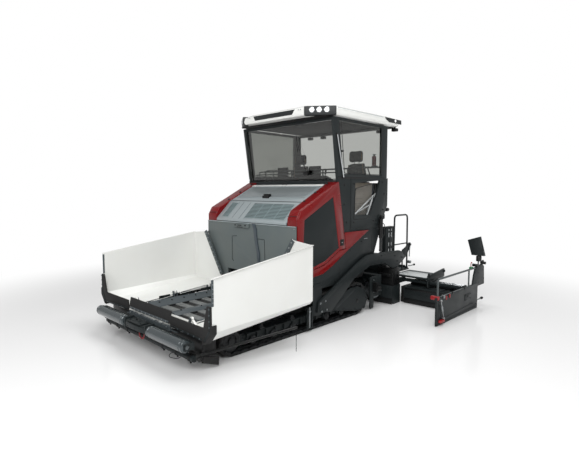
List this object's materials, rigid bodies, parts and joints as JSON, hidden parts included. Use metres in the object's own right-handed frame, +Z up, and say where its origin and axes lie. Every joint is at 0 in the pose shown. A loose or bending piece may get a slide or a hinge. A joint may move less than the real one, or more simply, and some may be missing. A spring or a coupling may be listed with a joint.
{
  "type": "asphalt paver",
  "caption": "Tracked asphalt paver with a folding-wing hopper, conveyors, augers, roofed operator's platform and a screed that extends to both sides.",
  "frame": {"origin": "on the ground, in the middle of the machine's length and width", "axes": "+X is the machine's left side, +Y its rear (the screed), +Z up"},
  "size_m": [5.695, 6.6, 3.99],
  "materials": {
    "anthracite": "semi-gloss",
    "mid_grey": "satin",
    "off_white": "gloss",
    "red": "gloss",
    "silver": "satin",
    "black": "satin",
    "rubber": "matt",
    "steel": "polished",
    "glass": "clear, lightly tinted",
    "seat": "woven"
  },
  "bodies": {
    "chassis": {"chassis_frame": "anthracite", "engine_block": "mid_grey", "platform": "anthracite", "hopper_floor": "mid_grey", "hopper_rear_wall": "mid_grey", "conveyor_slats": "anthracite", "cab_frame": "anthracite", "windscreen": "glass", "roof": "off_white", "roof_lining": "black", "auger_frame": "anthracite", "front_bar": "anthracite", "hood_rail_left": "red", "hood_rail_right": "red", "side_trim_left": "red", "side_trim_right": "red", "cab_side_left": "anthracite", "cab_side_right": "anthracite", "side_glass_left": "glass", "side_glass_right": "glass", "seat_left": "seat", "seat_right": "seat", "track_frame_left": "anthracite", "track_frame_right": "anthracite", "track_left": "rubber", "track_right": "rubber"},
    "push_beam": {"push_beam": "anthracite"},
    "front_flap": {"front_flap": "rubber"},
    "hood_lid": {"hood_lid": "silver"},
    "guide_rod": {"guide_rod_left": "steel"},
    "screed": {"screed_base": "anthracite"},
    "wing_left": {"hopper_wing_left": "off_white", "wing_strip_left": "rubber"},
    "push_roller_left": {"push_roller_left": "mid_grey"},
    "side_door_left": {"door_frame_left": "red", "door_panel_left": "anthracite"},
    "auger_left": {"auger_left": "anthracite"},
    "extension_left": {"screed_extension_left": "anthracite", "end_gate_left": "anthracite"},
    "stage_left": {"screed_stage_left": "mid_grey"},
    "lift_barrel_left": {"lift_barrel_left": "black"},
    "lift_rod_left": {"lift_rod_left": "steel"},
    "wing_right": {"hopper_wing_right": "off_white", "wing_strip_right": "rubber"},
    "push_roller_right": {"push_roller_right": "mid_grey"},
    "side_door_right": {"door_frame_right": "red", "door_panel_right": "anthracite"},
    "auger_right": {"auger_right": "anthracite"},
    "extension_right": {"screed_extension_right": "anthracite", "end_gate_right": "anthracite"},
    "stage_right": {"screed_stage_right": "mid_grey"},
    "lift_barrel_right": {"lift_barrel_right": "black"},
    "lift_rod_right": {"lift_rod_right": "steel"}
  },
  "joints": [
    {"name": "push_beam_swing", "type": "hinge", "parent": "chassis", "child": "push_beam", "pos_m": [0, -2.96, 0.385], "axis": [0, 0, 1], "range_deg": [-3, 3]},
    {"name": "flap_tilt", "type": "hinge", "parent": "chassis", "child": "front_flap", "pos_m": [0, -3.045, 0.51], "axis": [1, 0, 0], "range_deg": [0, 70]},
    {"name": "hood_lid_lift", "type": "hinge", "parent": "chassis", "child": "hood_lid", "pos_m": [0, 0.0375, 2.54625], "axis": [-1, 0, 0], "range_deg": [0, 45]},
    {"name": "guide_rod_swivel", "type": "hinge", "parent": "chassis", "child": "guide_rod", "pos_m": [1.4, -3.075, 0.25], "axis": [0, 0, 1], "range_deg": [-60, 20]},
    {"name": "screed_lift", "type": "hinge", "parent": "chassis", "child": "screed", "pos_m": [0, -0.44, 0.375], "axis": [1, 0, 0], "range_deg": [0, 6]},
    {"name": "wing_fold_left", "type": "hinge", "parent": "chassis", "child": "wing_left", "pos_m": [0.85, -1.05, 0.58], "axis": [0, -1, 0], "range_deg": [0, 55]},
    {"name": "push_roller_spin_left", "type": "hinge", "parent": "push_beam", "child": "push_roller_left", "pos_m": [0.38, -3.215, 0.385], "axis": [1, 0, 0], "continuous": true},
    {"name": "side_door_open_left", "type": "hinge", "parent": "chassis", "child": "side_door_left", "pos_m": [1.265, -0.98, 1.03], "axis": [0, 0, -1], "range_deg": [0, 80]},
    {"name": "auger_spin_left", "type": "hinge", "parent": "chassis", "child": "auger_left", "pos_m": [0.14, 1.56, 0.33], "axis": [1, 0, 0], "continuous": true},
    {"name": "extension_slide_left", "type": "slide", "parent": "screed", "child": "extension_left", "axis": [1, 0, 0], "range_m": [-1.16, 0]},
    {"name": "stage_slide_left", "type": "slide", "parent": "screed", "child": "stage_left", "axis": [1, 0, 0], "range_m": [-0.6, 0.02]},
    {"name": "lift_pivot_left", "type": "hinge", "parent": "chassis", "child": "lift_barrel_left", "pos_m": [1.295, 1.48, 1.9], "axis": [-1, 0, 0], "range_deg": [-0.5, 13]},
    {"name": "lift_stroke_left", "type": "slide", "parent": "lift_barrel_left", "child": "lift_rod_left", "axis": [0, 0, 1], "range_m": [-0.005, 0.195]},
    {"name": "wing_fold_right", "type": "hinge", "parent": "chassis", "child": "wing_right", "pos_m": [-0.85, -1.05, 0.58], "axis": [0, 1, 0], "range_deg": [0, 55]},
    {"name": "push_roller_spin_right", "type": "hinge", "parent": "push_beam", "child": "push_roller_right", "pos_m": [-0.38, -3.215, 0.385], "axis": [1, 0, 0], "continuous": true},
    {"name": "side_door_open_right", "type": "hinge", "parent": "chassis", "child": "side_door_right", "pos_m": [-1.265, -0.98, 1.03], "axis": [0, 0, 1], "range_deg": [0, 80]},
    {"name": "auger_spin_right", "type": "hinge", "parent": "chassis", "child": "auger_right", "pos_m": [-0.14, 1.56, 0.33], "axis": [1, 0, 0], "continuous": true},
    {"name": "extension_slide_right", "type": "slide", "parent": "screed", "child": "extension_right", "axis": [-1, 0, 0], "range_m": [-1.16, 0]},
    {"name": "stage_slide_right", "type": "slide", "parent": "screed", "child": "stage_right", "axis": [-1, 0, 0], "range_m": [-0.6, 0.02]},
    {"name": "lift_pivot_right", "type": "hinge", "parent": "chassis", "child": "lift_barrel_right", "pos_m": [-1.295, 1.48, 1.9], "axis": [-1, 0, 0], "range_deg": [-0.5, 13]},
    {"name": "lift_stroke_right", "type": "slide", "parent": "lift_barrel_right", "child": "lift_rod_right", "axis": [0, 0, 1], "range_m": [-0.005, 0.195]}
  ],
  "couplings": [
    {"joint": "stage_slide_left", "follows": "extension_slide_left", "ratio": 0.5},
    {"joint": "lift_pivot_left", "follows": "screed_lift", "ratio": 1.923},
    {"joint": "lift_stroke_left", "follows": "screed_lift", "m_per_rad": 1.777},
    {"joint": "stage_slide_right", "follows": "extension_slide_right", "ratio": 0.5},
    {"joint": "lift_pivot_right", "follows": "screed_lift", "ratio": 1.923},
    {"joint": "lift_stroke_right", "follows": "screed_lift", "m_per_rad": 1.777}
  ]
}
